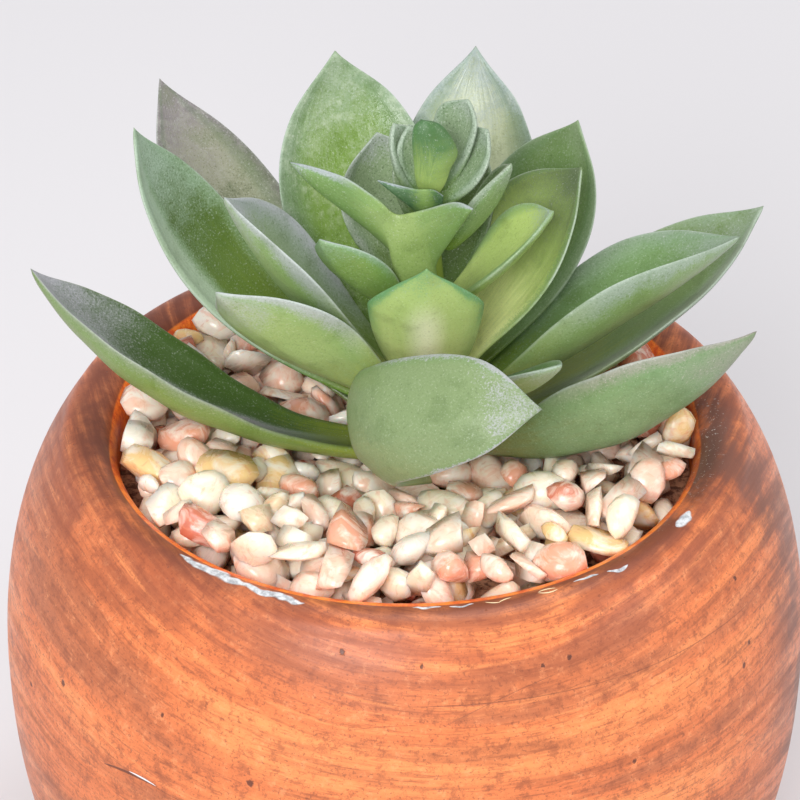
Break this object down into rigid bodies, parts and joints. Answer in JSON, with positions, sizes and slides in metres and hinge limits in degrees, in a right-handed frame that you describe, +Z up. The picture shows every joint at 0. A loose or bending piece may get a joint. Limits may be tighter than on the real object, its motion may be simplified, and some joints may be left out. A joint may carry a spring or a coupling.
{
  "type": "potted succulent",
  "caption": "Potted succulent: a rosette of thick pointed leaves in a round wood-look pot with a rounded lip, topped with small polished pebbles.",
  "frame": {"origin": "centre of the pot's flat base, on the surface that it stands on", "axes": "+Z up along the pot's axis, -Y towards the side that the picture shows"},
  "size_m": [0.12, 0.12, 0.1445],
  "materials": {
    "pot": "satin wood-look finish, terracotta orange with brown grain streaks",
    "soil": "rough dark filling, hidden by the pebbles",
    "pebbles": "polished pebbles, cream, pink, salmon and tan",
    "stem": "matt olive green, hidden by the leaves",
    "outer_leaf": "satin green with a blue-grey bloom towards edges and tip",
    "middle_leaf": "satin green, yellow-green towards the root, blue-grey edges",
    "inner_leaf": "satin light green, yellow-green towards the root",
    "heart": "satin green with pale yellow-green roots"
  },
  "bodies": {
    "root": {"pot": "pot", "soil": "soil", "gravel": "pebbles", "stem": "stem", "outer_leaf_1": "outer_leaf", "outer_leaf_2": "outer_leaf", "outer_leaf_3": "outer_leaf", "outer_leaf_4": "outer_leaf", "outer_leaf_5": "outer_leaf", "outer_leaf_6": "outer_leaf", "outer_leaf_7": "outer_leaf", "outer_leaf_8": "outer_leaf", "outer_leaf_9": "outer_leaf", "outer_leaf_10": "outer_leaf", "middle_leaf_1": "middle_leaf", "middle_leaf_2": "middle_leaf", "middle_leaf_3": "middle_leaf", "middle_leaf_4": "middle_leaf", "middle_leaf_5": "middle_leaf", "middle_leaf_6": "middle_leaf", "middle_leaf_7": "middle_leaf", "inner_leaf_1": "inner_leaf", "inner_leaf_2": "inner_leaf", "inner_leaf_3": "inner_leaf", "inner_leaf_4": "inner_leaf", "inner_leaf_5": "inner_leaf", "inner_leaf_6": "inner_leaf", "inner_leaf_7": "inner_leaf", "leaf_pair": "inner_leaf", "heart": "heart"}
  },
  "joints": []
}
